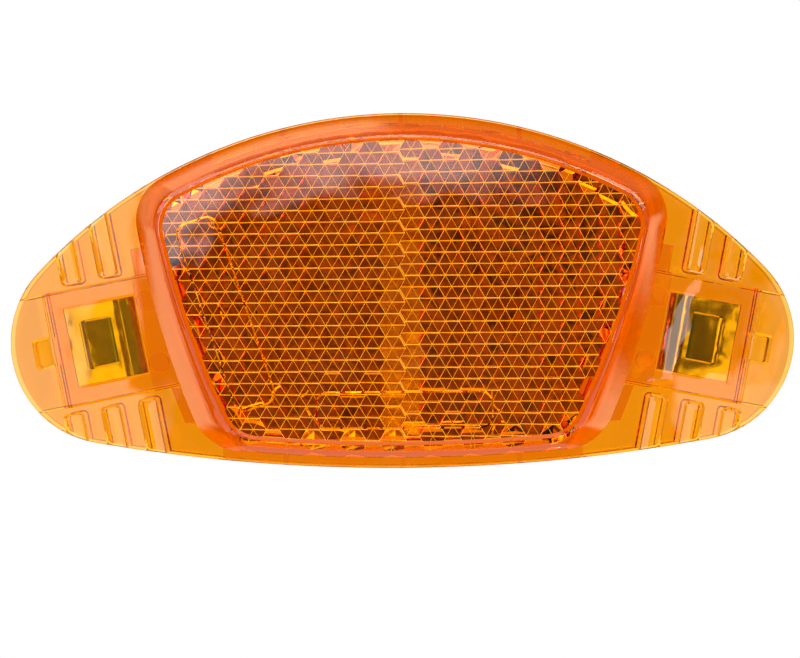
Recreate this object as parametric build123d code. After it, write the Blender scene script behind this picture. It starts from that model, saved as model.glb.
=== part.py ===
from build123d import *
import os
from math import atan2, acos, cos, hypot, radians, sin, sqrt

# Plan outline: two end arcs, a rim-side arc and a hub-side arc, all tangent
length = 100.0
end_radius = 13.0
rim_arc = 63.8
hub_arc = 223.0

# Heights above the parting plane
half_thickness = 4.5
lens_recess = 0.4
lens_skin = 1.2
bezel_foot = 2.9
plate_outer = 2.7
plate_inner = 1.5
pad_outer = 2.9
pad_inner = 1.1
tip_outer = 2.4
flute_depth = 0.4
window_floor = 0.6

# Bezel and lens window in plan
ledge_rim = 0.25
ledge_hub = 1.3
foot_corner_rim = 6.0
foot_corner_hub = 7.0
foot_side_x = -31.2
foot_side_y = -2.5
foot_lean = 0.285
pane_rim = 3.6
pane_hub = 3.5
pane_corner = 3.0
pane_side_x = -27.0
pane_side_y = -3.8
pane_lean = 0.335
bezel_land = 0.5
recess_slope = 0.42
hollow_rim = 0.5
hollow_hub = 0.5
hollow_side = 0.4
hollow_corner = 2.8
side_wall = 2.2
groove_wall = 0.7
groove_width = 1.25
groove_depth = 1.0
groove_half = 24.0

# Cube-corner pins under the lens
pin_side = 1.70
pin_reach = 0.5
pin_root = 0.05
pin_overlap = 0.4
pin_bury = 0.06
bundle_shift = 0.46

# Bare plates on the lens face
plate_raise = 0.18
side_plate = (-22.4, -2.8, 5.6, 25.2, 18.5)
hub_plate = (0.2, -15.15, 22.6, 4.8)
plate_corner = 1.6

# Spoke ends, measured in a frame turned to the spoke
end_inset = 11.43
end_y = -6.35
end_turn = 11.0
strip_half = 7.47
strip_slope = 0.45
strip_out = 5.93
strip_in = 9.5
tip_window = (-8.6, -5.93, 1.95)
lead_start = -7.0
lead_rise = 0.3
lead_length = 5.5
flute_width = 2.65
flute_corner = 0.6
hub_flutes = (-5.15, -0.35, 4.45)
hub_flute_start = -8.1
rim_flutes = (-2.05, 2.75)
rim_flute_start = 7.8
post_radius = 1.25
post_u = 6.7
post_v = 4.1
heel_u = (5.4, 9.5)
heel_gap = 0.3
gusset_u = (5.95, 9.0)
gusset_v = (7.2, 10.9)
fin_width = 1.3
fin_y = (-16.8, -12.3)
sill_half = 23.0
sill_gap = 0.5
rib_width = 0.6
rib_pitch = 15.0

# Spring clip
spoke_radius = 1.0
spoke_clearance = 0.05
sheet = 0.3
clip_out = -3.8
clip_bend = 2.9
clip_seat = 3.75
clip_half_width = 5.0
pocket_clearance = 0.1
leg_outer = 1.7
tongue_root = -2.0
tongue_free = 1.7
tongue_half_width = 2.95
tongue_slot = 0.2
tongue_gap = 0.5

end_x = end_inset - length / 2
end_frame = Plane((end_x, end_y, 0), x_dir=(cos(radians(end_turn)), sin(radians(end_turn)), 0))

end_centre_x = length / 2 - end_radius
rim_drop = sqrt((rim_arc - end_radius) ** 2 - end_centre_x ** 2)
hub_drop = sqrt((hub_arc - end_radius) ** 2 - end_centre_x ** 2)
end_centre_y = (rim_drop - rim_arc + hub_arc - hub_drop) / 2
rim_centre = end_centre_y - rim_drop
hub_centre = end_centre_y + hub_drop


def slab(shape, low, high):
    return extrude(Pos(0, 0, low) * shape, high - low)


def both_ends(shape):
    left = end_frame * shape
    return [left, mirror(left, about=Plane.YZ)]


def outline_face():
    top = rim_centre + rim_arc
    bottom = hub_centre - hub_arc
    rim_k = end_radius / (rim_arc - end_radius)
    hub_k = end_radius / (hub_arc - end_radius)
    rim_x = end_centre_x * (1 + rim_k)
    rim_y = end_centre_y + rim_k * rim_drop
    hub_x = end_centre_x * (1 + hub_k)
    hub_y = end_centre_y - hub_k * hub_drop
    tip = length / 2
    return make_face([
        Edge.make_three_point_arc((-rim_x, rim_y), (0, top), (rim_x, rim_y)),
        Edge.make_three_point_arc((rim_x, rim_y), (tip, end_centre_y), (hub_x, hub_y)),
        Edge.make_three_point_arc((hub_x, hub_y), (0, bottom), (-hub_x, hub_y)),
        Edge.make_three_point_arc((-hub_x, hub_y), (-tip, end_centre_y), (-rim_x, rim_y)),
    ])


def trapezoid(rim_inset, hub_inset, side_x, side_y, lean, rim_corner, hub_corner):
    def side(y):
        return side_x + (side_y - y) * lean
    high = 40.0
    low = -40.0
    face = make_face(Polyline(
        (side(high), high), (-side(high), high), (-side(low), low), (side(low), low), close=True))
    face = face & (Pos(0, rim_centre) * Circle(rim_arc - rim_inset))
    face = face & (Pos(0, hub_centre) * Circle(hub_arc - hub_inset))
    upper = face.vertices().sort_by(Axis.Y)[2:]
    face = fillet(upper, rim_corner)
    lower = face.vertices().sort_by(Axis.Y)[:2]
    return fillet(lower, hub_corner)


def pin_bundle(pane, top, columns, shift):
    # Hexagonal pins, each ending in three faces that meet at an apex; the heights below the
    # root plane run 0 and half a pin at alternate corners to a full pin at the apex.
    column = 1.5 * pin_side
    row = sqrt(3) * pin_side
    depth = sqrt(2) * pin_side
    inside = offset(pane, pin_reach).face()

    def corners(i, j):
        # Corner keys on a lattice of half sides and half rows
        a = 3 * i
        b = 2 * j + i % 2
        steps = [(2, 0), (1, 1), (-1, 1), (-2, 0), (-1, -1), (1, -1)]
        return (a, b), [(a + p, b + q) for p, q in steps]

    def place(key):
        return (key[0] * pin_side / 2 + column / 2, key[1] * row / 2 + shift)

    cells = []
    for i in columns:
        for j in range(-9, 9):
            centre, ring = corners(i, j)
            if inside.is_inside(Vector(*place(centre), 0)):
                cells.append((centre, ring))

    root = top - pin_root
    ceiling = top + pin_overlap
    faces = []
    sides = {}
    for centre, ring in cells:
        apex = Vector(*place(centre), root - depth)
        point = [Vector(*place(key), root - (depth / 2 if n % 2 == 0 else 0)) for n, key in enumerate(ring)]
        for n in (0, 2, 4):
            faces.append(Face(Wire.make_polygon([apex, point[n], point[n + 1], point[(n + 2) % 6]])))
        for n in range(6):
            pair = (ring[n], ring[(n + 1) % 6])
            sides.setdefault(frozenset(pair), []).append((pair, point[n], point[(n + 1) % 6]))

    border = {}
    for entries in sides.values():
        if len(entries) == 1:
            pair, first, second = entries[0]
            rise = [Vector(v.X, v.Y, ceiling) for v in (second, first)]
            faces.append(Face(Wire.make_polygon([first, second] + rise)))
            border[pair[0]] = pair[1]
    start = next(iter(border))
    loop = [start]
    while border[loop[-1]] != start:
        loop.append(border[loop[-1]])
    rim = [place(key) for key in loop]
    faces.append(Face(Wire.make_polygon([Vector(x, y, ceiling) for x, y in rim])))
    return Solid(Shell(faces)), make_face(Polyline(*rim, close=True)), len(cells)


outline = outline_face()
foot = trapezoid(ledge_rim, ledge_hub, foot_side_x, foot_side_y, foot_lean, foot_corner_rim, foot_corner_hub)
pane = trapezoid(pane_rim, pane_hub, pane_side_x, pane_side_y, pane_lean, pane_corner, pane_corner)
crest = offset(pane, bezel_land)
lens_face = half_thickness - lens_recess
lens_back = lens_face - lens_skin

# Wing plates, bezel block and the thicker strips over the clips
shell = slab(outline, plate_inner, plate_outer)
shell += slab(foot, 0, bezel_foot)
shell += loft([Pos(0, 0, bezel_foot) * foot, Pos(0, 0, half_thickness) * crest], ruled=True)

strip = Plane.YZ * make_face(Polyline(
    (-strip_half, pad_outer), (strip_half, pad_outer), (strip_half, plate_inner),
    (strip_half - strip_slope, pad_inner), (strip_slope - strip_half, pad_inner),
    (-strip_half, plate_inner), close=True))
shell += both_ends(Pos(-strip_out, 0, 0) * extrude(strip, strip_out + strip_in))

posts = [Pos(post_u, v) * Circle(post_radius) for v in (post_v, -post_v)]
for post in posts:
    shell += both_ends(slab(post, 0, plate_inner))
heel = Pos(sum(heel_u) / 2, 0) * Rectangle(heel_u[1] - heel_u[0], 2 * (strip_half - strip_slope))
shell += both_ends(slab(heel, heel_gap, plate_inner))
gusset = Pos(sum(gusset_u) / 2, sum(gusset_v) / 2) * Rectangle(
    gusset_u[1] - gusset_u[0], gusset_v[1] - gusset_v[0])
shell += both_ends(slab(gusset, 0, plate_inner))

ledge = outline - foot
fin = (offset(foot, fin_width) - foot) & (Pos(-length / 4, sum(fin_y) / 2) * Rectangle(
    length / 2, fin_y[1] - fin_y[0]))
shell += slab(fin, 0, plate_inner)
shell += slab(mirror(fin, about=Plane.YZ), 0, plate_inner)
sill = ledge & (Pos(0, -length / 2) * Rectangle(2 * sill_half, length))
shell += slab(sill, sill_gap, plate_inner)
ribs = [Pos(x, 0) * Rectangle(rib_width, length) for x in (-rib_pitch, 0, rib_pitch)]
for rib in ribs:
    shell += slab(ledge & rib, 0, plate_inner)

# A weld groove under the rim side of the bezel, crossed by the same ribs
groove_outer = rim_arc - ledge_rim - groove_wall
groove = (Circle(groove_outer) - Circle(groove_outer - groove_width)) & (
    Pos(0, rim_arc) * Rectangle(2 * groove_half, 2 * rim_arc))
groove = Pos(0, rim_centre) * groove
for rib in ribs:
    groove -= rib
shell -= slab(groove, 0, groove_depth)

# Two bundles of pins meet at a seam down the middle; the hollow behind the lens follows their edge
left_pins, left_field, left_count = pin_bundle(pane, lens_back, range(-14, 0), 0)
right_pins, right_field, right_count = pin_bundle(pane, lens_back, range(0, 14), bundle_shift)
spans = []
for half in (left_field, right_field):
    heights = [v.Y for v in half.vertices() if abs(v.X) < pin_side / 2]
    spans.append((min(heights), max(heights)))
seam_low = max(low for low, high in spans) + pin_bury
seam_high = min(high for low, high in spans) - pin_bury
seam = Pos(0, (seam_low + seam_high) / 2) * Rectangle(pin_side * 0.6, seam_high - seam_low)
field = offset(left_field + right_field + seam, -pin_bury, kind=Kind.INTERSECTION)
hollow_sizes = (pane_rim - hollow_rim, pane_hub - hollow_hub)
waist = trapezoid(
    *hollow_sizes, pane_side_x + side_wall, pane_side_y, pane_lean, hollow_corner, hollow_corner)
limit = trapezoid(
    *hollow_sizes, pane_side_x - hollow_side, pane_side_y, pane_lean, hollow_corner, hollow_corner)
shell -= slab((field + waist) & limit, 0, lens_back)
mouth = offset(pane, recess_slope)
shell -= loft([Pos(0, 0, lens_face) * pane, Pos(0, 0, half_thickness) * mouth], ruled=True)
plate_x, plate_y, plate_w, plate_l, plate_turn = side_plate
shell += slab(
    Pos(plate_x, plate_y) * Rot(0, 0, plate_turn) * RectangleRounded(plate_w, plate_l, plate_corner),
    lens_face - pin_root, lens_face + plate_raise)
plate_x, plate_y, plate_w, plate_l = hub_plate
shell += slab(
    Pos(plate_x, plate_y) * RectangleRounded(plate_w, plate_l, plate_corner),
    lens_face - pin_root, lens_face + plate_raise)

# Spoke ends: lowered tip, tip window, lead-in, clip pocket and finger flutes
reach = 2 * end_radius
pocket_out = clip_out - pocket_clearance
pocket_in = clip_seat + spoke_radius + spoke_clearance + sheet + pocket_clearance
pocket_half = clip_half_width + pocket_clearance
tip = Pos(-strip_out - reach / 2, 0) * Rectangle(reach, 2 * strip_half)
cuts = [slab(tip, tip_outer, tip_outer + 1)]
tip_box = Pos((tip_window[0] + tip_window[1]) / 2, 0) * Rectangle(
    tip_window[1] - tip_window[0], 2 * tip_window[2])
cuts.append(slab(tip_box, plate_inner + window_floor, tip_outer + 1))
lead = Plane.XZ * make_face(Polyline(
    (lead_start, plate_inner), (lead_start - lead_length, plate_inner + lead_rise),
    (lead_start - lead_length, 0), (lead_start, 0), close=True))
cuts.append(Pos(0, strip_half, 0) * extrude(lead, 2 * strip_half))
pocket = Pos((pocket_out + pocket_in) / 2, 0) * Rectangle(pocket_in - pocket_out, 2 * pocket_half)
cuts.append(slab(pocket, 0, leg_outer))
flute = chamfer(Rectangle(flute_width, reach).vertices(), flute_corner)
flute_bottom = plate_outer - flute_depth
for u in hub_flutes:
    cuts.append(slab(Pos(u, hub_flute_start - reach / 2) * flute, flute_bottom, plate_outer + 1))
for u in rim_flutes:
    cuts.append(slab(Pos(u, rim_flute_start + reach / 2) * flute, flute_bottom, plate_outer + 1))
for cut in cuts:
    for placed in both_ends(cut):
        shell -= placed

shell += left_pins
shell += right_pins

# Spring clip: a folded strip with a closed seat and a tongue lanced out of each leg
seat_inner = spoke_radius + spoke_clearance
seat_outer = seat_inner + sheet


def fold(leg, radius):
    reach_u = clip_bend - clip_seat
    bearing = atan2(leg, reach_u) - acos(radius / hypot(leg, reach_u))
    touch = (clip_seat + radius * cos(bearing), radius * sin(bearing))
    return make_face([
        Edge.make_line((clip_out, -leg), (clip_out, leg)),
        Edge.make_line((clip_out, leg), (clip_bend, leg)),
        Edge.make_line((clip_bend, leg), touch),
        Edge.make_three_point_arc(touch, (clip_seat + radius, 0), (touch[0], -touch[1])),
        Edge.make_line((touch[0], -touch[1]), (clip_bend, -leg)),
        Edge.make_line((clip_bend, -leg), (clip_out, -leg)),
    ])


def across(profile, half_width):
    return Pos(0, half_width, 0) * extrude(Plane.XZ * profile, 2 * half_width)


leg_inner = leg_outer - sheet
clip = across(fold(leg_outer, seat_outer) - fold(leg_inner, seat_inner), clip_half_width)
lance = Pos((tongue_root + tongue_free + tongue_slot) / 2, 0) * Rectangle(
    tongue_free + tongue_slot - tongue_root, 2 * (tongue_half_width + tongue_slot))
clip -= slab(lance, -half_thickness, half_thickness)
tongue = make_face(Polyline(
    (tongue_root - sheet, leg_outer), (tongue_root, leg_outer), (tongue_free, tongue_gap / 2 + sheet),
    (tongue_free, tongue_gap / 2), (tongue_root, leg_inner), (tongue_root - sheet, leg_inner), close=True))
tongue = across(tongue, tongue_half_width)
clip += tongue
clip += mirror(tongue, about=Plane.XY)

lift = Pos(0, 0, half_thickness)
left_clip, right_clip = both_ends(clip)
nodes = {
    "front_shell": lift * shell,
    "rear_shell": lift * mirror(shell, about=Plane.XY),
    "left_spoke_clip": lift * left_clip,
    "right_spoke_clip": lift * right_clip,
}

os.makedirs("parts", exist_ok=True)
for name, solid in nodes.items():
    solid.label = name
    export_step(solid, f"parts/{name}.step")
    print(name, len(solid.solids()), round(solid.volume, 2), solid.is_valid)
print("pins", left_count + right_count)
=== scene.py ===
from math import acos, atan2, cos, hypot, pi, radians, sin, sqrt

import bmesh
import bpy
import numpy as np
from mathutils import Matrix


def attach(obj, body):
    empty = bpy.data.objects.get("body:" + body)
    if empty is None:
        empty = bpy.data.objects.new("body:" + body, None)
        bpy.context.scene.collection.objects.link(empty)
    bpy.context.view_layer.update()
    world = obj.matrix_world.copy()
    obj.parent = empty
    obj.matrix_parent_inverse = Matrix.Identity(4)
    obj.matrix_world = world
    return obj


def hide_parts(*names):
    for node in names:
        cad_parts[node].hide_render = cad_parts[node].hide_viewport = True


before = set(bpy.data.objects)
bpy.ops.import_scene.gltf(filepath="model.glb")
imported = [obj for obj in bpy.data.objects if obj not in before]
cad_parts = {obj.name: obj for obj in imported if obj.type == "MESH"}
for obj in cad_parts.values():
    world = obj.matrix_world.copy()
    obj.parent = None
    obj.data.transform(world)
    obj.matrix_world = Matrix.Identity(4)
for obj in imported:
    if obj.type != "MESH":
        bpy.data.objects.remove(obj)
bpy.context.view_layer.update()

scene = bpy.context.scene
mm = 0.001
midHeight = 4.5  # parting plane above the table, mm
past = 1.0  # how far a cutter runs past the face that it opens, mm
clear = 40.0  # beyond the outline on every side, mm
through = (-1.0, 3.0)  # heights that a trimming box spans, mm


def hexToLinear(code):
    srgb = np.array([int(code[i:i + 2], 16) for i in (1, 3, 5)]) / 255
    low = srgb / 12.92
    high = ((srgb + 0.055) / 1.055) ** 2.4
    return tuple(np.where(srgb <= 0.04045, low, high)) + (1.0,)


def addNode(tree, kind, settings=None, links=None):
    node = tree.nodes.new(kind)
    for key, value in (settings or {}).items():
        if isinstance(key, str) and hasattr(node, key):
            setattr(node, key, value)
        else:
            node.inputs[key].default_value = value
    for key, source in (links or {}).items():
        tree.links.new(source, node.inputs[key])
    return node


def newMesh(name, points, faces):
    mesh = bpy.data.meshes.new(name)
    mesh.from_pydata(np.asarray(points).tolist(), [], [list(map(int, f)) for f in faces])
    mesh.validate()
    piece = bpy.data.objects.new(name, mesh)
    scene.collection.objects.link(piece)
    return piece


def ringSolid(name, rings):
    # closed body: rings of n points one after another, quads between them, a cap at each end
    count, n = len(rings), len(rings[0])
    a = np.arange(n)
    b = (a + 1) % n
    strips = [np.stack([a, b, b + n, a + n], 1) + k * n for k in range(count - 1)]
    faces = list(np.concatenate(strips)) + [a[::-1], a + (count - 1) * n]
    piece = newMesh(name, np.concatenate(rings), faces)
    work = bmesh.new()
    work.from_mesh(piece.data)
    bmesh.ops.recalc_face_normals(work, faces=work.faces)
    work.to_mesh(piece.data)
    work.free()
    return piece


def atHeight(loop, z):
    return np.column_stack([loop, np.full(len(loop), float(z))])


def stack(name, levels):
    return ringSolid(name, [atHeight(loop, z) for loop, z in levels])


def settle(piece):
    # the mesh as the modifiers leave it
    graph = bpy.context.evaluated_depsgraph_get()
    done = bpy.data.meshes.new_from_object(piece.evaluated_get(graph))
    piece.modifiers.clear()
    old = piece.data
    piece.data = done
    bpy.data.meshes.remove(old)


def combine(base, tool, operation):
    change = base.modifiers.new("cut", "BOOLEAN")
    change.operation = operation
    change.solver = "EXACT"
    change.object = tool
    settle(base)
    bpy.data.objects.remove(tool)
    return base


def editPoints(piece, change):
    # the mesh's points taken out as one array and put back changed
    points = np.empty(len(piece.data.vertices) * 3, np.float32)
    piece.data.vertices.foreach_get("co", points)
    changed = change(points.reshape(-1, 3))
    piece.data.vertices.foreach_set("co", changed.astype(np.float32).ravel())
    return piece


def mirrored(piece, axis, name):
    # a copy with one axis negated; its faces are flipped so that they point outwards again
    copy = bpy.data.objects.new(name, piece.data.copy())
    scene.collection.objects.link(copy)
    sign = np.ones(3, np.float32)
    sign[axis] = -1
    editPoints(copy, lambda points: points * sign)
    copy.data.flip_normals()
    return copy


def arc(centre, radius, start, stop, n):
    turn = np.linspace(start, stop, n)
    return np.column_stack([centre[0] + radius * np.cos(turn), centre[1] + radius * np.sin(turn)])


def circle(centre, radius, n):
    return arc(centre, radius, 0, 2 * pi, n + 1)[:-1]


# plan outlines, all in mm
outline = {"length": 100.0, "endRadius": 13.0, "rimArc": 63.8, "hubArc": 223.0}
foot = {"rim": 0.25, "hub": 1.3, "sideX": -31.35, "sideY": -2.5, "lean": 0.275, "sideArc": 115.0,
        "rimCorner": 6.0, "hubCorner": 7.0}
pane = {"rim": 3.6, "hub": 3.5, "sideX": -27.1, "sideY": -3.8, "lean": 0.34, "sideArc": 115.0,
        "rimCorner": 4.4, "hubCorner": 4.6}
arcPoints = {"end": 72, "rim": 140, "hub": 120, "paneCorner": 40, "paneSide": 24, "paneLine": 100}

endX = outline["length"] / 2 - outline["endRadius"]
rimDrop = sqrt((outline["rimArc"] - outline["endRadius"]) ** 2 - endX ** 2)
hubDrop = sqrt((outline["hubArc"] - outline["endRadius"]) ** 2 - endX ** 2)
endY = (rimDrop - outline["rimArc"] + outline["hubArc"] - hubDrop) / 2
rimCentre = np.array([0.0, endY - rimDrop])
hubCentre = np.array([0.0, endY + hubDrop])


def outlineLoop(inset):
    # four tangent arcs, anticlockwise; an inset keeps the centres and shortens the radii
    rimTurn = atan2(rimDrop, endX)
    hubTurn = atan2(-hubDrop, endX)
    r = outline["endRadius"] - inset
    parts = [
        arc((endX, endY), r, hubTurn, rimTurn, arcPoints["end"]),
        arc(rimCentre, outline["rimArc"] - inset, rimTurn, pi - rimTurn, arcPoints["rim"]),
        arc((-endX, endY), r, pi - rimTurn, pi - hubTurn, arcPoints["end"]),
        arc(hubCentre, outline["hubArc"] - inset, -pi - hubTurn, hubTurn, arcPoints["hub"]),
    ]
    return np.concatenate([part[:-1] for part in parts])


def paneLoop(form, inset):
    # four arcs with filleted corners, anticlockwise: rim side, hub side and two bowed sides; a fillet's
    # centre lies on both neighbouring arcs, each moved in by the fillet's radius
    slant = np.array([1, form["lean"]]) / hypot(1, form["lean"])
    sideCentre = np.array([form["sideX"], form["sideY"]]) + form["sideArc"] * slant
    sideRadius = form["sideArc"] - inset
    rimRadius = outline["rimArc"] - form["rim"] - inset
    hubRadius = outline["hubArc"] - form["hub"] - inset

    def corner(centre, radius, fillet, sign):
        # circles about both centres meet at along ± across, measured from the side's centre
        apart = centre - sideCentre
        length = np.linalg.norm(apart)
        ra, rb = sideRadius - fillet, radius - fillet
        along = (length ** 2 + ra ** 2 - rb ** 2) / (2 * length)
        across = sqrt(ra ** 2 - along ** 2)
        unit = apart / length
        spot = sideCentre + unit * along + sign * across * np.array([-unit[1], unit[0]])
        reach, back = spot - centre, spot - sideCentre
        return spot, atan2(reach[1], reach[0]) % (2 * pi), atan2(back[1], back[0]) % (2 * pi)

    rimFillet, hubFillet = form["rimCorner"] - inset, form["hubCorner"] - inset
    rimSpot, rimTurn, sideTop = corner(rimCentre, rimRadius, rimFillet, -1)
    hubSpot, hubTurn, sideLow = corner(hubCentre, hubRadius, hubFillet, 1)
    rimCorner = arc(rimSpot, rimFillet, rimTurn, sideTop, arcPoints["paneCorner"])
    hubCorner = arc(hubSpot, hubFillet, sideLow, hubTurn, arcPoints["paneCorner"])
    side = arc(sideCentre, sideRadius, sideTop, sideLow, arcPoints["paneSide"])[1:-1]
    left = np.concatenate([rimCorner, side, hubCorner])
    right = left[::-1] * [-1, 1]
    rimLine = arc(rimCentre, rimRadius, pi - rimTurn, rimTurn, arcPoints["paneLine"])[1:-1]
    hubLine = arc(hubCentre, hubRadius, hubTurn, 3 * pi - hubTurn, arcPoints["paneLine"])[1:-1]
    return np.concatenate([rimLine, left, hubLine, right])


def roundedBox(u0, u1, v0, v1, radius, n=8):
    # four quarter circles of n points, anticlockwise from the corner at u1, v1
    high, low = (u1 - radius, v1 - radius), (u0 + radius, v0 + radius)
    spots = [high, (low[0], high[1]), low, (high[0], low[1])]
    quarters = [arc(spot, radius, k * pi / 2, (k + 1) * pi / 2, n) for k, spot in enumerate(spots)]
    return np.concatenate(quarters)


# spoke ends use a frame turned to the spoke, u towards the lens and v along the spoke
spokeEnd = {"x": -38.57, "y": -6.35, "turn": radians(11.0)}


def placeEnd(piece):
    c, s = cos(spokeEnd["turn"]), sin(spokeEnd["turn"])

    def turned(points):
        u, v, z = points.T
        return np.column_stack([spokeEnd["x"] + u * c - v * s, spokeEnd["y"] + u * s + v * c, z])
    return editPoints(piece, turned)


def bothEnds(piece):
    placeEnd(piece)
    return [piece, mirrored(piece, 0, piece.name + "Right")]


def newMaterial(name):
    material = bpy.data.materials.new(name)
    material.use_nodes = True
    material.node_tree.nodes.clear()
    return material, material.node_tree


# sizes and depths of these patterns are in mm; absorbed is per mm of red, green and blue
amberLook = {"tint": "#FFD67A", "index": 1.49, "waveSize": 9.0, "waveDepth": 0.07, "worn": 0.09,
             "absorbed": (0.03, 0.18, 1.25)}


def amberAcrylic(name, roughness):
    # injection-moulded clear acrylic dyed amber: polished like the steel mould but a little wavy from
    # shrinking, and its colour deepens from yellow to orange red with the thickness light goes through
    material, tree = newMaterial(name)
    where = addNode(tree, "ShaderNodeTexCoord")
    sink = addNode(tree, "ShaderNodeTexNoise", {
        "Scale": 1 / (amberLook["waveSize"] * mm), "Detail": 1.5, "Roughness": 0.4},
        {"Vector": where.outputs["Object"]})
    wave = addNode(tree, "ShaderNodeBump", {"Strength": 1.0, "Distance": amberLook["waveDepth"] * mm},
                   {"Height": sink.outputs[0]})
    plastic = addNode(tree, "ShaderNodeBsdfPrincipled", {
        "Base Color": hexToLinear(amberLook["tint"]), "Roughness": roughness, "IOR": amberLook["index"],
        "Transmission Weight": 1.0}, {"Normal": wave.outputs[0]})
    most = max(amberLook["absorbed"])
    dye = addNode(tree, "ShaderNodeVolumeAbsorption", {
        "Color": tuple(1 - share / most for share in amberLook["absorbed"]) + (1.0,), "Density": most / mm})
    addNode(tree, "ShaderNodeOutputMaterial", {}, {"Surface": plastic.outputs[0], "Volume": dye.outputs[0]})
    return material


steelLook = {"tint": "#BFD9AE", "grainSize": 0.5, "grainStretch": 0.06, "roughness": (0.05, 0.12),
             "dentSize": 3.5, "dentDepth": 0.12}


def springSteel():
    # rolled spring steel, zinc-plated with a faint yellow-green passivate: a soft mirror with fine grain
    material, tree = newMaterial("zinc-plated spring steel")
    where = addNode(tree, "ShaderNodeTexCoord")
    rolled = addNode(tree, "ShaderNodeMapping", {"Scale": (1.0, steelLook["grainStretch"], 1.0)},
                     {"Vector": where.outputs["Object"]})
    grain = addNode(tree, "ShaderNodeTexNoise", {"Scale": 1 / (steelLook["grainSize"] * mm), "Detail": 3.0},
                    {"Vector": rolled.outputs[0]})
    fine, coarse = steelLook["roughness"]
    rough = addNode(tree, "ShaderNodeMapRange", {"To Min": fine, "To Max": coarse},
                    {"Value": grain.outputs["Fac"]})
    dents = addNode(tree, "ShaderNodeTexNoise", {"Scale": 1 / (steelLook["dentSize"] * mm), "Detail": 1.0},
                    {"Vector": where.outputs["Object"]})
    uneven = addNode(tree, "ShaderNodeBump", {"Strength": 1.0, "Distance": steelLook["dentDepth"] * mm},
                     {"Height": dents.outputs[0]})
    metal = addNode(tree, "ShaderNodeBsdfPrincipled", {
        "Base Color": hexToLinear(steelLook["tint"]), "Metallic": 1.0},
        {"Roughness": rough.outputs[0], "Normal": uneven.outputs[0]})
    addNode(tree, "ShaderNodeOutputMaterial", {}, {"Surface": metal.outputs[0]})
    return material


# glow and its level are a painted glow on the ridges: emission that stands in for light they don't get
ridgeAndPaintedGlowLook = {"tint": "#FFFAF2", "glow": "#EDEBFF", "paintedGlowLevel": 0.62, "grainSize": 0.4,
             "roughness": (0.55, 0.9)}


def ridgeAcrylicWithPaintedGlow():
    # the same acrylic where the joints between the tool's pins leave a fine matt ridge; a pale emission on it
    # is a painted glow, a painted highlight that makes the ridge lines paler than the light reaching them
    # would
    material, tree = newMaterial("matt acrylic ridges with painted glow")
    where = addNode(tree, "ShaderNodeTexCoord")
    grain = addNode(tree, "ShaderNodeTexNoise", {"Scale": 1 / (ridgeAndPaintedGlowLook["grainSize"] * mm), "Detail": 2.0},
                    {"Vector": where.outputs["Object"]})
    fine, coarse = ridgeAndPaintedGlowLook["roughness"]
    rough = addNode(tree, "ShaderNodeMapRange", {"To Min": fine, "To Max": coarse},
                    {"Value": grain.outputs[0]})
    matt = addNode(tree, "ShaderNodeBsdfPrincipled", {
        "Base Color": hexToLinear(ridgeAndPaintedGlowLook["tint"]), "Emission Color": hexToLinear(ridgeAndPaintedGlowLook["glow"]),
        "Emission Strength": ridgeAndPaintedGlowLook["paintedGlowLevel"]}, {"Roughness": rough.outputs[0]})
    addNode(tree, "ShaderNodeOutputMaterial", {}, {"Surface": matt.outputs[0]})
    return material


steel = springSteel()
shellMaterials = [amberAcrylic("moulded amber acrylic", 0.0), ridgeAcrylicWithPaintedGlow(),
                  amberAcrylic("worn amber acrylic", amberLook["worn"])]
print("materials", [material.name for material in shellMaterials + [steel]])


# edge and rowEdge are the widths cut flat, seam is a share of the side, columns are on each half
pins = {
    "side": 1.70, "reach": 0.5, "edge": 0.042, "rowEdge": 0.095, "root": 0.05, "overlap": 0.4,
    "bury": 0.06, "shift": 0.46, "seam": 0.3, "columns": 14, "rows": 9, "weld": 0.002, "plateWeld": 0.01,
}


def pinTile(depth):
    # one pin: three square faces meeting at an apex, their edges cut flat, more along the rows;
    # heights run from -depth at the apex through -depth/2 to 0 at alternate corners
    s = pins["side"]
    turn = np.arange(6) * pi / 3
    heights = np.where(np.arange(6) % 2 == 0, -depth / 2, 0)
    rim = np.column_stack([s * np.cos(turn), s * np.sin(turn), heights])
    apex = np.array([0, 0, -depth])
    quads = [np.array([apex, rim[n], rim[n + 1], rim[(n + 2) % 6]]) for n in (0, 2, 4)]

    def insetQuad(quad, row):
        after, before = np.roll(quad, -1, 0), np.roll(quad, 1, 0)
        level = np.abs((after - quad)[:, 1]) < 1e-6
        share = np.where(level, row, pins["edge"])[:, None] / (s * sqrt(1.5))
        return quad + np.roll(share, 1, 0) * (after - quad) + share * (before - quad)

    inner = [insetQuad(q, pins["rowEdge"]) for q in quads]
    even = [insetQuad(q, pins["edge"]) for q in quads]

    def onEdge(point, a, b):
        along = (b - a)[:2] / np.linalg.norm((b - a)[:2])
        flat = a[:2] + along * np.dot(point[:2] - a[:2], along)
        return np.array([flat[0], flat[1], point[2]])

    points = [p for q in inner for p in q]
    faces = [[0, 1, 2, 3], [4, 5, 6, 7], [8, 9, 10, 11], [0, 4, 8]]
    for k in range(3):
        after = (k + 1) % 3
        faces.append([4 * k, 4 * k + 3, 4 * after + 1, 4 * after])
    mids = {}
    for k, n in enumerate((0, 2, 4)):
        for first, second, qa, qb in ((n, n + 1, 1, 2), (n + 1, (n + 2) % 6, 2, 3)):
            start = len(points)
            points += [onEdge(even[k][q], rim[first], rim[second]) for q in (qa, qb)]
            faces.append([4 * k + qa, start, start + 1, 4 * k + qb])
            mids[(first, second)] = (start, start + 1)
    for k, n in enumerate((0, 2, 4)):
        peak = len(points)
        points.append(np.array([rim[n + 1][0], rim[n + 1][1], even[k][2][2]]))
        faces.append([4 * k + 2, mids[(n, n + 1)][1], peak, mids[(n + 1, (n + 2) % 6)][0]])
        saddle = len(points)
        points.append(rim[n])
        before = (n + 5) % 6
        faces.append([mids[(before, n)][1], saddle, mids[(n, n + 1)][0], 4 * k + 1, 4 * ((k + 2) % 3) + 3])
    return np.array(points), faces


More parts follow.
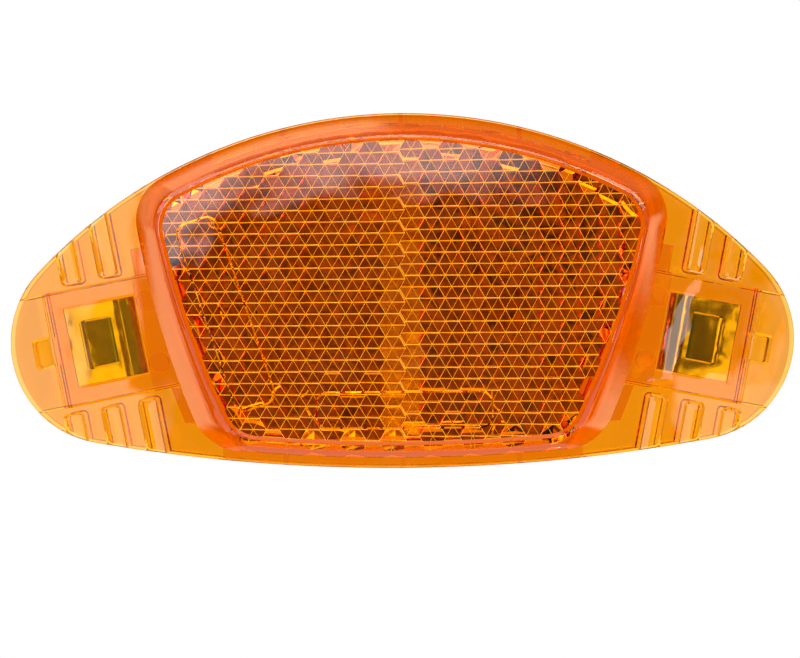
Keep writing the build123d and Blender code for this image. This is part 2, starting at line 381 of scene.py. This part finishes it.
def pinBlock(name, centres, worn, root, ceiling):
    # tiles welded into one sheet, its border raised to a flat ceiling; the pins beside the seam come from
    # worn tool pins and are a little dull
    tile, faces = pinTile(sqrt(2) * pins["side"])
    points = (atHeight(centres, root)[:, None, :] + tile[None]).reshape(-1, 3)
    base = np.arange(len(centres)) * len(tile)
    piece = newMesh(name, points, [np.array(f) + b for b in base for f in faces])
    for material in shellMaterials:
        piece.data.materials.append(material)
    # the ridge faces take the matt acrylic with its painted glow
    ridge = np.tile(np.arange(len(faces)) > 2, len(centres))
    dull = np.repeat(worn, len(faces))
    piece.data.polygons.foreach_set("material_index", np.where(ridge, 1, 2 * dull).astype(np.int32))
    work = bmesh.new()
    work.from_mesh(piece.data)
    bmesh.ops.remove_doubles(work, verts=work.verts, dist=pins["weld"])
    border = [e for e in work.edges if e.is_boundary]
    lifted = bmesh.ops.extrude_edge_only(work, edges=border)["geom"]
    for vert in (g for g in lifted if isinstance(g, bmesh.types.BMVert)):
        vert.co.z = ceiling
    rimEdges = [g for g in lifted if isinstance(g, bmesh.types.BMEdge) and g.is_boundary]
    bmesh.ops.holes_fill(work, edges=rimEdges, sides=0)
    bmesh.ops.recalc_face_normals(work, faces=work.faces)
    work.to_mesh(piece.data)
    work.free()
    return piece


def pinCentres(columns, shift):
    # flat-topped hexagons in columns 1.5 sides apart, kept where the centre lies in the window: a line
    # from it towards +X crosses the window's loop an odd number of times
    s = pins["side"]
    i, j = np.meshgrid(columns, np.arange(-pins["rows"], pins["rows"]), indexing="ij")
    i, j = i.ravel(), j.ravel()
    centres = np.column_stack([(i + 0.5) * 1.5 * s, (j + (i % 2) / 2) * sqrt(3) * s + shift])
    x, y = centres[:, :1], centres[:, 1:]
    here = paneLoop(pane, -pins["reach"])
    there = np.roll(here, -1, 0)
    spans = (here[:, 1] > y) != (there[:, 1] > y)
    slope = (there[:, 0] - here[:, 0]) / np.where(there[:, 1] == here[:, 1], 1, there[:, 1] - here[:, 1])
    keep = (spans & (x < here[:, 0] + (y - here[:, 1]) * slope)).sum(1) % 2 == 1
    return centres[keep], i[keep]


def fieldLoop(centres):
    # the pins' hexagons joined into one outline, anticlockwise
    points = (centres[:, None, :] + circle((0, 0), pins["side"], 6)).reshape(-1, 2)
    plate = newMesh("field", atHeight(points, 0), np.arange(len(points)).reshape(-1, 6))
    work = bmesh.new()
    work.from_mesh(plate.data)
    bmesh.ops.remove_doubles(work, verts=work.verts, dist=pins["plateWeld"])
    joined = bmesh.ops.dissolve_faces(work, faces=work.faces)["region"][0]
    loop = np.array([v.co[:2] for v in joined.verts])
    work.free()
    bpy.data.objects.remove(plate)
    after = np.roll(loop, -1, 0)
    area = (loop[:, 0] * after[:, 1] - after[:, 0] * loop[:, 1]).sum()
    return loop if area > 0 else loop[::-1]


def insetLoop(loop, distance):
    # each side moved in along its normal n: p + d (n1 + n2) / (1 + n1.n2)
    side = np.roll(loop, -1, 0) - loop
    normal = np.column_stack([-side[:, 1], side[:, 0]]) / np.linalg.norm(side, axis=1)[:, None]
    before = np.roll(normal, 1, 0)
    return loop + distance * (normal + before) / (1 + (normal * before).sum(1))[:, None]


# heights above the parting plane; sunk is how far a brace runs into the plate
shell = {
    "half": 4.5, "lensFace": 4.1, "lensBack": 2.9, "foot": 2.9, "plateOuter": 2.7, "plateInner": 1.5,
    "padOuter": 2.9, "padInner": 1.1, "tipOuter": 2.4, "land": 0.5, "recessSlope": 0.42,
    "weldGap": 0.008, "edge": 0.14, "sunk": 0.2,
}
bezel = {
    "crown": 1.32, "skirt": 0.05,
    "steps": (0.0, 0.03, 0.08, 0.16, 0.26, 0.36, 0.46, 0.56, 0.66, 0.76, 0.85, 0.93, 1.0),
}
strip = {"half": 7.47, "slope": 0.36, "out": -5.93, "in": 9.5, "ease": 0.3, "corner": 0.05, "lip": 0.02}
flute = {
    "width": 2.65, "corner": 0.7, "tight": 0.1, "narrow": 0.6, "reach": 26.0, "depth": 0.4,
    # middle u, closed end v, and the way along v that it runs
    "rows": [(-5.15, -8.1, -1), (-0.35, -8.1, -1), (4.45, -8.1, -1), (-2.05, 7.8, 1), (2.75, 7.8, 1)],
    # inset from the flute's edge, share of the depth reached there
    "profile": [(0, 0), (0.05, 0.1), (0.11, 0.34), (0.17, 0.62), (0.25, 0.84), (0.4, 0.95), (0.7, 0.98),
                (1.2, 1)],
}
post = {"radius": 1.25, "draft": 0.02, "u": 6.7, "v": 4.1, "points": 32}
heel = {"u": (5.4, 9.5), "v": 7.0, "low": 0.3, "corner": 0.3}
gusset = {"u": (5.95, 9.0), "v": (7.2, 10.9), "corner": 0.15}
fin = {"width": 1.3, "x": -12.0, "y": (-16.8, -12.3)}
ledgeRib = {"width": 0.6, "pitch": 15.0, "inset": 0.168}
sill = {"half": 23.0, "y": -15.0, "low": 0.5}
groove = {"wall": 0.7, "width": 1.25, "depth": 1.0, "half": 24.0, "points": 24}
hollow = {
    "rim": 0.5, "hub": 0.5, "side": 0.4, "sideWall": 2.2, "corner": 2.8, "waist": 1.0,
    # the cutters' undersides, apart so that no two share a plane
    "limitLow": -0.5, "waistLow": -1.0, "seamLow": -1.1, "fieldLow": -1.2,
}
pocket = {"u": (-3.9, 5.2), "v": 5.1, "top": 1.7, "corner": 0.1}
cover = {"u": (-4.5, 5.5), "v": 5.3, "rise": 0.18, "sunk": 0.3}
tipWindow = {"u": (-8.6, -5.93), "v": 1.95, "floor": 2.1, "tilt": 0.3, "draft": 0.35, "corner": 0.55}
leadIn = {"start": -7.0, "length": 5.5, "rise": 0.3}
barePlate = {
    "raise": 0.18, "draft": 0.22, "corner": 1.6, "sunk": 0.1,
    # middle x and y, width, height and turn in degrees
    "spots": [(-22.4, -2.8, 5.6, 25.2, 18.5), (0.2, -15.15, 22.6, 4.8, 0.0)],
}


def plainBox(name, x, y, z):
    loop = np.array([(x[0], y[0]), (x[1], y[0]), (x[1], y[1]), (x[0], y[1])])
    return stack(name, [(loop, z[0]), (loop, z[1])])


def bezelRings():
    # the foot's outline carried over to the land's; the slope is crowned, lift = 1 - (1 - t)^crown
    low = paneLoop(foot, 0.0)
    high = paneLoop(pane, -shell["land"])
    rings = [(low, shell["weldGap"]), (low, shell["foot"] - bezel["skirt"])]
    for t in bezel["steps"]:
        z = shell["foot"] + (1 - (1 - t) ** bezel["crown"]) * (shell["half"] - shell["foot"])
        rings.append((low * (1 - t) + high * t, z))
    return rings


def addBraces(body):
    # pads over the clips, and the posts, heels, gussets, fins and ribs that meet the other shell
    edge = shell["edge"]
    bottom, top = shell["weldGap"], shell["plateInner"] + shell["sunk"]

    def padLevel(v, u, z):
        return roundedBox(u, strip["in"], -v, v, strip["corner"], n=2), z
    adds = bothEnds(stack("pad", [
        padLevel(strip["half"] - strip["slope"], strip["out"], shell["padInner"]),
        padLevel(strip["half"], strip["out"], shell["plateInner"]),
        padLevel(strip["half"], strip["out"], shell["plateOuter"] - strip["lip"]),
        padLevel(strip["half"] - strip["ease"], strip["out"] + edge, shell["padOuter"])]))
    block = roundedBox(*heel["u"], -heel["v"], heel["v"], heel["corner"], n=4)
    adds += bothEnds(stack("heel", [(block, heel["low"]), (block, top)]))
    for v in (post["v"], -post["v"]):
        tight, wide = [circle((post["u"], v), post["radius"] + side * post["draft"], post["points"])
                       for side in (-1, 1)]
        adds += bothEnds(stack("post", [(tight, bottom), (wide, heel["low"]), (wide, top)]))
    brace = roundedBox(*gusset["u"], *gusset["v"], gusset["corner"], n=3)
    adds += bothEnds(stack("gusset", [(brace, bottom), (brace, top)]))
    skirt = paneLoop(foot, -fin["width"])
    leftFin = stack("fin", [(skirt, bottom), (skirt, top)])
    combine(leftFin, plainBox("cutter", (-clear, fin["x"]), fin["y"], through), "INTERSECT")
    adds += [leftFin, mirrored(leftFin, 0, "finRight")]
    ledge = outlineLoop(ledgeRib["inset"])
    for x in (-ledgeRib["pitch"], 0.0, ledgeRib["pitch"]):
        rib = stack("rib", [(ledge, bottom), (ledge, top)])
        span = (x - ledgeRib["width"] / 2, x + ledgeRib["width"] / 2)
        adds.append(combine(rib, plainBox("cutter", span, (-clear, clear), through), "INTERSECT"))
    rim = stack("sill", [(outlineLoop(edge), sill["low"]), (outlineLoop(edge), top)])
    hubSide = plainBox("cutter", (-sill["half"], sill["half"]), (-clear, sill["y"]), through)
    adds.append(combine(rim, hubSide, "INTERSECT"))
    for tool in adds:
        combine(body, tool, "UNION")


def cutGroove(body):
    # a weld groove under the rim side of the bezel, crossed by the ribs
    outer = outline["rimArc"] - foot["rim"] - groove["wall"]
    gap, pitch = ledgeRib["width"] / 2, ledgeRib["pitch"]
    for start, stop in ((-groove["half"], -pitch - gap), (-pitch + gap, -gap),
                        (gap, pitch - gap), (pitch + gap, groove["half"])):
        x = np.linspace(start, stop, groove["points"])
        near, far = [np.column_stack([x, rimCentre[1] + np.sqrt(radius ** 2 - x ** 2)])
                     for radius in (outer - groove["width"], outer)]
        loop = np.concatenate([near, far[::-1]])
        combine(body, stack("groove", [(loop, -past), (loop, groove["depth"])]), "DIFFERENCE")


def cutHollow(body, fields):
    # the space behind the lens ends where the pins end; the seam between the two bundles is open
    loops = [fieldLoop(centres) for centres in fields]
    spans = [loop[np.abs(loop[:, 0]) < pins["side"] / 2, 1] for loop in loops]
    low = max(span.min() for span in spans) + pins["bury"]
    high = min(span.max() for span in spans) - pins["bury"]
    wide = pins["side"] * pins["seam"]
    limit = dict(pane, rim=pane["rim"] - hollow["rim"], hub=pane["hub"] - hollow["hub"],
                 sideX=pane["sideX"] - hollow["side"], rimCorner=hollow["corner"], hubCorner=hollow["corner"])
    waist = dict(limit, sideX=pane["sideX"] + hollow["sideWall"], rim=limit["rim"] - hollow["waist"],
                 hub=limit["hub"] - hollow["waist"])
    top = shell["lensBack"]
    waistLoop, limitLoop = paneLoop(waist, 0.0), paneLoop(limit, 0.0)
    space = stack("waist", [(waistLoop, hollow["waistLow"]), (waistLoop, top)])
    combine(space, plainBox("seam", (-wide, wide), (low, high), (hollow["seamLow"], top)), "UNION")
    for loop in loops:
        inner = insetLoop(loop, pins["bury"])
        combine(space, stack("field", [(inner, hollow["fieldLow"]), (inner, top)]), "UNION")
    combine(space, stack("limit", [(limitLoop, hollow["limitLow"]), (limitLoop, top + past)]), "INTERSECT")
    combine(body, space, "DIFFERENCE")


def cutEnds(body):
    # lens recess, lowered tips, tip windows, lead-ins, clip pockets and finger flutes
    lip = paneLoop(pane, -shell["recessSlope"])
    cuts = [stack("recess", [
        (paneLoop(pane, 0.0), shell["lensFace"]), (lip, shell["half"]), (lip, shell["half"] + past)])]

    def tipLevel(grow, z):
        v = strip["half"] + grow
        return roundedBox(strip["out"] - flute["reach"], strip["out"] + grow, -v, v, strip["corner"], n=2), z
    cuts += bothEnds(stack("tip", [
        tipLevel(-strip["ease"], shell["tipOuter"]), tipLevel(0, shell["padOuter"]),
        tipLevel(0, shell["padOuter"] + past)]))

    def windowLevel(grow, z):
        u0, u1 = tipWindow["u"]
        v = tipWindow["v"] + grow
        return atHeight(roundedBox(u0 - grow, u1 + grow, -v, v, tipWindow["corner"] + grow), z)
    rings = [windowLevel(-tipWindow["draft"], tipWindow["floor"]), windowLevel(0, shell["tipOuter"]),
             windowLevel(0, shell["padOuter"] + past)]
    u0, u1 = tipWindow["u"]
    rings[0][:, 2] += tipWindow["tilt"] * ((rings[0][:, 0] - u0) / (u1 - u0) - 0.5)
    cuts += bothEnds(ringSolid("tipWindow", rings))

    u0, z0 = leadIn["start"], shell["plateInner"]
    u1 = u0 - leadIn["length"]
    wedge = np.array([(u0, z0), (u1, z0 + leadIn["rise"]), (u1, 0), (u0, 0)])
    sides = [np.column_stack([wedge[:, 0], np.full(4, v), wedge[:, 1]])
             for v in (-strip["half"], strip["half"])]
    cuts += bothEnds(ringSolid("leadIn", sides))
    seat = roundedBox(*pocket["u"], -pocket["v"], pocket["v"], pocket["corner"], n=3)
    cuts += bothEnds(stack("pocket", [(seat, 0.0), (seat, pocket["top"])]))

    for u, v, way in flute["rows"]:
        def fluteLevel(inset, z):
            half = flute["width"] / 2 - inset
            ends = sorted((v + way * inset, v + way * flute["reach"]))
            radius = flute["tight"]
            if half > flute["narrow"]:
                radius = max(flute["corner"] - inset / 2, radius)
            return roundedBox(u - half, u + half, *ends, radius), z
        scoop = [fluteLevel(inset, shell["plateOuter"] - share * flute["depth"])
                 for inset, share in flute["profile"]]
        cuts += bothEnds(stack("flute", scoop[::-1] + [fluteLevel(0, shell["plateOuter"] + past)]))
    for tool in cuts:
        combine(body, tool, "DIFFERENCE")


def addFaces(body):
    # the covers over the clips fall a little towards the lens; the bare plates stand off the lens
    u0, u1 = cover["u"]
    v = cover["v"]
    level = shell["padOuter"]
    high = level + cover["rise"]
    top = np.array([(u0, -v, high), (u1, -v, level), (u1, v, level), (u0, v, high)])
    bottom = top * [1, 1, 0] + [0, 0, level - cover["sunk"]]
    for tool in bothEnds(ringSolid("cover", [bottom, top])):
        combine(body, tool, "UNION")
    face = shell["lensFace"]
    for x, y, wide, tall, turn in barePlate["spots"]:
        c, s = cos(radians(turn)), sin(radians(turn))

        def plateLevel(grow, z):
            u, v = wide / 2 + grow, tall / 2 + grow
            loop = roundedBox(-u, u, -v, v, barePlate["corner"] + grow)
            return loop @ np.array([[c, s], [-s, c]]) + [x, y], z
        combine(body, stack("plate", [
            plateLevel(0, face - barePlate["sunk"]), plateLevel(0, face),
            plateLevel(-barePlate["draft"], face + barePlate["raise"])]), "UNION")


def buildShell():
    edge = shell["edge"]
    body = stack("shell", [
        (outlineLoop(edge / 2), shell["plateInner"]), (outlineLoop(0), shell["plateInner"] + edge / 2),
        (outlineLoop(0), shell["plateOuter"] - edge), (outlineLoop(edge), shell["plateOuter"])])
    for material in shellMaterials:
        body.data.materials.append(material)
    combine(body, stack("bezel", bezelRings()), "UNION")
    addBraces(body)
    left, leftColumn = pinCentres(np.arange(-pins["columns"], 0), 0.0)
    right, rightColumn = pinCentres(np.arange(0, pins["columns"]), pins["shift"])
    cutHollow(body, (left, right))
    cutGroove(body)
    cutEnds(body)
    addFaces(body)
    root, ceiling = shell["lensBack"] - pins["root"], shell["lensBack"] + pins["overlap"]
    for centres, worn in ((left, leftColumn == -1), (right, rightColumn == 0)):
        combine(body, pinBlock("pins", centres, worn, root, ceiling), "UNION")
    print("shell", len(body.data.vertices), "points", len(left) + len(right), "pins")
    return body


def finishPiece(piece, name, node):
    editPoints(piece, lambda points: (points + [0, 0, midHeight]) * mm)
    piece.data.update()
    piece.name = name
    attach(piece, "root")
    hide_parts(node)
    return piece


# u runs from the open end to the seat; a tongue starts tongueLap inside its leg and bends past its root
clip = {
    "sheet": 0.3, "half": 5.0, "leg": 1.55, "floorGap": 0.02, "bow": 0.03, "ease": 0.09, "sideEase": 0.04,
    "out": -3.8, "bend": 2.9, "bendRadius": 0.5, "seat": 3.75, "seatRadius": 1.2,
    "tongueRoot": -2.0, "tongueFree": 1.7, "tongueHalf": 2.95, "tongueTip": 0.42, "tongueBend": 0.45,
    "tongueStart": 0.1, "tongueLap": 0.6, "tongueSheet": 0.294, "slot": 0.2, "slotCorner": 0.25,
    "seatPoints": 40, "legPoints": 12, "bendPoints": 10, "cut": 3.0, "sharp": radians(50),
}


def sheetRing(path, thick):
    # a centre line widened to both sides by half the sheet
    slope = np.gradient(path, axis=0)
    slope /= np.linalg.norm(slope, axis=1)[:, None]
    side = np.column_stack([-slope[:, 1], slope[:, 0]]) * thick / 2
    return np.concatenate([path + side, (path - side)[::-1]])


def sheetPiece(name, path, half, thick):
    # the widened centre line carried across the strip, a little thinner at both sides
    ease = clip["sideEase"]
    rings = []
    for v, grow in ((-half, -ease), (-half + ease, 0), (half - ease, 0), (half, -ease)):
        loop = sheetRing(path, thick + 2 * grow)
        rings.append(np.column_stack([loop[:, 0], np.full(len(loop), v), loop[:, 1]]))
    return ringSolid(name, rings)


def smoothPath(corners, radius):
    # straight runs with each corner replaced by a quadratic curve that starts a radius away
    corners = np.array(corners, float)
    t = np.linspace(0, 1, clip["bendPoints"])[:, None]
    path = [corners[:1]]
    for before, here, after in zip(corners[:-2], corners[1:-1], corners[2:]):
        a = here + (before - here) / np.linalg.norm(before - here) * radius
        b = here + (after - here) / np.linalg.norm(after - here) * radius
        path.append((1 - t) ** 2 * a + 2 * t * (1 - t) * here + t ** 2 * b)
    path.append(corners[-1:])
    return np.concatenate(path)


def buildClip():
    # two bowed legs, slopes that touch the round seat, and a tongue lanced out of each leg
    leg = clip["leg"] - clip["floorGap"]
    r = clip["seatRadius"]
    away = clip["bend"] - clip["seat"]
    bearing = atan2(leg, away) - acos(r / hypot(leg, away))
    seat = arc((clip["seat"], 0), r, bearing, -bearing, clip["seatPoints"])
    upper = smoothPath([(clip["out"], leg), (clip["bend"], leg), seat[0]], clip["bendRadius"])
    run = np.linspace(clip["out"], 0, clip["legPoints"])
    bowed = np.column_stack([run, leg - clip["bow"] * (run / clip["out"]) ** 2])
    upper = np.concatenate([bowed, upper[1:]])
    path = np.concatenate([upper[:-1], seat, (upper[:-1] * [1, -1])[::-1]])
    body = sheetPiece("clip", path, clip["half"], clip["sheet"])
    root, free = clip["tongueRoot"], clip["tongueFree"]
    v = clip["tongueHalf"] + clip["slot"]
    opening = roundedBox(root, free + clip["slot"], -v, v, clip["slotCorner"], n=5)
    combine(body, stack("opening", [(opening, -clip["cut"]), (opening, clip["cut"])]), "DIFFERENCE")
    for side in (1, -1):
        bent = smoothPath([(root - clip["tongueLap"], leg * side), (root + clip["tongueStart"], leg * side),
                           (free, clip["tongueTip"] * side)], clip["tongueBend"])
        combine(body, sheetPiece("tongue", bent, clip["tongueHalf"], clip["tongueSheet"]), "UNION")
    ease = body.modifiers.new("ease", "BEVEL")
    ease.width = clip["ease"]
    ease.segments = 2
    ease.angle_limit = clip["sharp"]
    settle(body)
    print("clip", len(body.data.vertices), "points")
    return body


frontBody = buildShell()
rearBody = mirrored(frontBody, 2, "rearShellLook")
clipLeft = placeEnd(buildClip())
clipRight = mirrored(clipLeft, 0, "rightClipLook")
pieces = [
    finishPiece(frontBody, "frontShellLook", "front_shell"),
    finishPiece(rearBody, "rearShellLook", "rear_shell"),
    finishPiece(clipLeft, "leftClipLook", "left_spoke_clip"),
    finishPiece(clipRight, "rightClipLook", "right_spoke_clip"),
]
for piece in pieces[2:]:
    piece.data.materials.clear()
    piece.data.materials.append(steel)


def largest(tree, values):
    # the largest of several values at each place
    most = values[0]
    for value in values[1:]:
        most = addNode(tree, "ShaderNodeMath", {"operation": "MAXIMUM"}, {0: most, 1: value}).outputs[0]
    return most


def litZone(tree, level, edges):
    # a zone's light: its level times a smooth step over each soft edge, dark at the first place given and
    # fully lit at the second
    settings, links = {"To Max": level}, {}
    for value, dark, lit in edges:
        step = addNode(tree, "ShaderNodeMapRange", {
            "interpolation_type": "SMOOTHSTEP", "From Min": dark, "From Max": lit, **settings},
            {"Value": value, **links})
        settings, links = {}, {"To Max": step.outputs[0]}
    return step.outputs[0]


def squareLoop(half):
    return np.array([(-half, -half), (half, -half), (half, half), (-half, half)])


# metres; the sky is given by the height and the Y of the direction looked in
stage = {"half": 2.0, "drop": 0.0005, "paper": "#F4F4F4"}
sky = {"tint": "#FFFFFF", "wall": (0.25, 0.85), "top": 0.16, "near": (-0.5, 0.1), "nearLevel": 0.1}


def buildStage():
    # white paper that keeps the shadow and looks white to the eye, in reflections and through the plastic
    floor = newMesh("floor", atHeight(squareLoop(stage["half"]), -stage["drop"]), [np.arange(4)])
    material, tree = newMaterial("white paper")
    paper = addNode(tree, "ShaderNodeBsdfDiffuse", {"Color": hexToLinear(stage["paper"])})
    glow = addNode(tree, "ShaderNodeEmission", {"Strength": 1.0})
    path = addNode(tree, "ShaderNodeLightPath")
    rays = ("Is Camera Ray", "Is Glossy Ray", "Is Transmission Ray")
    seen = largest(tree, [path.outputs[ray] for ray in rays])
    white = addNode(tree, "ShaderNodeMixShader", {}, {0: seen, 1: paper.outputs[0], 2: glow.outputs[0]})
    addNode(tree, "ShaderNodeOutputMaterial", {}, {"Surface": white.outputs[0]})
    floor.data.materials.append(material)

    world = bpy.data.worlds.new("studio")
    scene.world = world
    world.use_nodes = True
    tree = world.node_tree
    tree.nodes.clear()
    where = addNode(tree, "ShaderNodeTexCoord")
    axes = addNode(tree, "ShaderNodeSeparateXYZ", {}, {0: where.outputs["Generated"]})
    wall = addNode(tree, "ShaderNodeMapRange", {
        "From Min": sky["wall"][0], "From Max": sky["wall"][1], "To Min": 1.0, "To Max": sky["top"]},
        {"Value": axes.outputs["Z"]})
    near = addNode(tree, "ShaderNodeMapRange", {
        "From Min": sky["near"][0], "From Max": sky["near"][1], "To Min": sky["nearLevel"], "To Max": 1.0},
        {"Value": axes.outputs["Y"]})
    both = addNode(tree, "ShaderNodeMath", {"operation": "MULTIPLY"},
                   {0: wall.outputs[0], 1: near.outputs[0]})
    light = addNode(tree, "ShaderNodeBackground", {"Color": hexToLinear(sky["tint"])},
                    {"Strength": both.outputs[0]})
    addNode(tree, "ShaderNodeOutputWorld", {}, {"Surface": light.outputs[0]})


# metres; each zone has its level and its soft edges, as axis, dark place and lit place
tent = {
    "height": 0.5, "half": 0.45, "warm": (2.0, 1.0, 0.4), "middle": (0.110, 0.092),
    "inside": (60.0, 0.04, 0.25), "outside": (110.0, 0.0, 0.5), "patch": (0.35, 0.65),
    "slants": {"corner": (-0.643, 0.766, 0.0), "stripe": (0.95, -0.312, 0.0)},
    "zones": {
        "left": (2.6, [("x", -0.090, -0.098), ("x", -0.158, -0.148)]),
        "leftLow": (2.6, [("x", -0.078, -0.086), ("x", -0.158, -0.148), ("y", -0.033, -0.040)]),
        "farLeft": (1.3, [("x", -0.24, -0.29)]),
        "right": (2.6, [("x", 0.128, 0.140), ("x", 0.158, 0.148)]),
        "rightLow": (2.6, [("x", 0.090, 0.098), ("x", 0.172, 0.160), ("y", -0.022, -0.030)]),
        "rim": (4.6, [("y", 0.028, 0.046), ("x", 0.065, 0.020), ("x", -0.105, -0.095)]),
        "corner": (5.0, [("corner", 0.056, 0.068), ("x", -0.095, -0.085)]),
        "stripe": (4.3, [("stripe", 0.0743, 0.0750), ("stripe", 0.0795, 0.0788),
                         ("y", -0.052, -0.048), ("y", 0.022, 0.018)]),
        "stripeTop": (2.6, [("stripe", 0.0925, 0.0932), ("stripe", 0.0982, 0.0975),
                            ("y", -0.0035, -0.0030), ("y", 0.0038, 0.0032)]),
        "stripeLow": (2.6, [("stripe", 0.0925, 0.0932), ("stripe", 0.0982, 0.0975),
                            ("y", -0.0335, -0.0328), ("y", -0.0268, -0.0275)]),
        "away": (4.0, [("y", 0.10, 0.13)]),
        "close": (1.4, [("y", -0.10, -0.13)]),
    },
}


def buildTent():
    # a lit sheet over the table, dark, uneven and brown round the camera, with soft edges to its lit parts
    material, tree = newMaterial("lit sheet")
    where = addNode(tree, "ShaderNodeTexCoord").outputs["Object"]
    plan = addNode(tree, "ShaderNodeSeparateXYZ", {}, {0: where})
    axes = {"x": plan.outputs["X"], "y": plan.outputs["Y"]}
    for name, way in tent["slants"].items():
        along = addNode(tree, "ShaderNodeVectorMath", {"operation": "DOT_PRODUCT", 1: way}, {0: where})
        axes[name] = along.outputs["Value"]
    lit = largest(tree, [litZone(tree, level, [(axes[axis], dark, bright) for axis, dark, bright in edges])
                         for level, edges in tent["zones"].values()])

    def patches(scale, low, high):
        noise = addNode(tree, "ShaderNodeTexNoise", {"Scale": scale, "Detail": 2.0}, {"Vector": where})
        dark, bright = tent["patch"]
        return addNode(tree, "ShaderNodeMapRange", {
            "From Min": dark, "From Max": bright, "To Min": low, "To Max": high},
            {"Value": noise.outputs[0]}).outputs[0]

    width = addNode(tree, "ShaderNodeMath", {"operation": "ABSOLUTE"}, {0: axes["x"]}).outputs[0]
    middle = litZone(tree, 1.0, [(width, *tent["middle"])])
    inside, outside = patches(*tent["inside"]), patches(*tent["outside"])
    brown = addNode(tree, "ShaderNodeMath", {"operation": "MULTIPLY"}, {0: inside, 1: middle})
    grey = addNode(tree, "ShaderNodeMapRange", {"To Max": 0.0}, {"Value": middle, "To Min": outside})
    colour = addNode(tree, "ShaderNodeCombineXYZ")
    for channel, warm in enumerate(tent["warm"]):
        dim = addNode(tree, "ShaderNodeMath", {"operation": "MULTIPLY_ADD", 1: warm},
                      {0: brown.outputs[0], 2: grey.outputs[0]})
        tree.links.new(largest(tree, [dim.outputs[0], lit]), colour.inputs[channel])
    glow = addNode(tree, "ShaderNodeEmission", {"Strength": 1.0}, {"Color": colour.outputs[0]})
    addNode(tree, "ShaderNodeOutputMaterial", {}, {"Surface": glow.outputs[0]})
    sheet = newMesh("sheet", atHeight(squareLoop(tent["half"]), tent["height"]), [np.arange(4)])
    sheet.data.materials.append(material)


# metres; each zone has its level, the side its bearings start from, first and last bearing and softness
band = {
    "radius": 0.62, "low": 0.1, "high": 0.6, "panels": 96, "tint": "#FFE3B0",
    "bottom": (0.15, 0.24), "top": (0.53, 0.40),
    "sides": {"ahead": 1.0, "behind": -1.0},  # +X and -X
    "zones": {
        "left": (5.4, "behind", 0, 34, 7), "corner": (2.6, "behind", -58, 6, 8),
        "rim": (5.6, "behind", -88, -50, 4), "right": (5.2, "ahead", -40, -21, 3),
        "upper": (5.2, "ahead", -12, 8, 4), "back": (0.9, "ahead", 30, 96, 8),
    },
}


def buildBand():
    # a lit screen bent round the table, bright on the rim side, the left and the right, with soft edges
    material, tree = newMaterial("lit screen")
    where = addNode(tree, "ShaderNodeTexCoord").outputs["Object"]
    height = addNode(tree, "ShaderNodeSeparateXYZ", {}, {0: where}).outputs["Z"]
    bearings = {}
    for side, sign in band["sides"].items():
        turned = addNode(tree, "ShaderNodeVectorMath", {"operation": "SCALE", "Scale": sign}, {0: where})
        plan = addNode(tree, "ShaderNodeSeparateXYZ", {}, {0: turned.outputs[0]})
        bearing = addNode(tree, "ShaderNodeMath", {"operation": "ARCTAN2"},
                          {0: plan.outputs["Y"], 1: plan.outputs["X"]})
        bearings[side] = bearing.outputs[0]
    zones = []
    for level, side, first, last, soft in band["zones"].values():
        bearing = bearings[side]
        zones.append(litZone(tree, level, [
            (bearing, radians(first - soft), radians(first + soft)),
            (bearing, radians(last + soft), radians(last - soft)),
            (height, *band["bottom"]), (height, *band["top"])]))
    glow = addNode(tree, "ShaderNodeEmission", {"Color": hexToLinear(band["tint"])},
                   {"Strength": largest(tree, zones)})
    addNode(tree, "ShaderNodeOutputMaterial", {}, {"Surface": glow.outputs[0]})
    n = band["panels"]
    ring = circle((0, 0), band["radius"], n)
    points = np.concatenate([atHeight(ring, band["low"]), atHeight(ring, band["high"])])
    a = np.arange(n)
    b = (a + 1) % n
    screen = newMesh("screen", points, np.stack([b, a, a + n, b + n], 1))
    screen.data.materials.append(material)


# lens and sensor in mm, distance in m, shift in pixels of the frame's width, roll in degrees
shot = {"lens": 100.0, "sensor": 36.0, "distance": 0.2861, "frameWidth": 800, "shiftX": -2.0, "shiftY": -38.5,
        "roll": -0.4}


def buildCamera():
    # looking straight down, a hand's reach away, with the object a little askew in the frame
    view = bpy.data.cameras.new("camera")
    view.lens, view.sensor_width = shot["lens"], shot["sensor"]
    view.shift_x = shot["shiftX"] / shot["frameWidth"]
    view.shift_y = shot["shiftY"] / shot["frameWidth"]
    view.clip_start = 10 * mm
    camera = bpy.data.objects.new("camera", view)
    scene.collection.objects.link(camera)
    camera.location = (0, 0, midHeight * mm + shot["distance"])
    camera.rotation_euler = (0, 0, radians(shot["roll"]))
    scene.camera = camera


buildStage()
buildTent()
buildBand()
buildCamera()
print("stage", len(tent["zones"]) + len(band["zones"]), "lit zones")
scene.view_settings.view_transform = "Standard"
scene.cycles.max_bounces = 28  # light crosses both shells and many pins
scene.cycles.transmission_bounces = 28
scene.cycles.glossy_bounces = 12
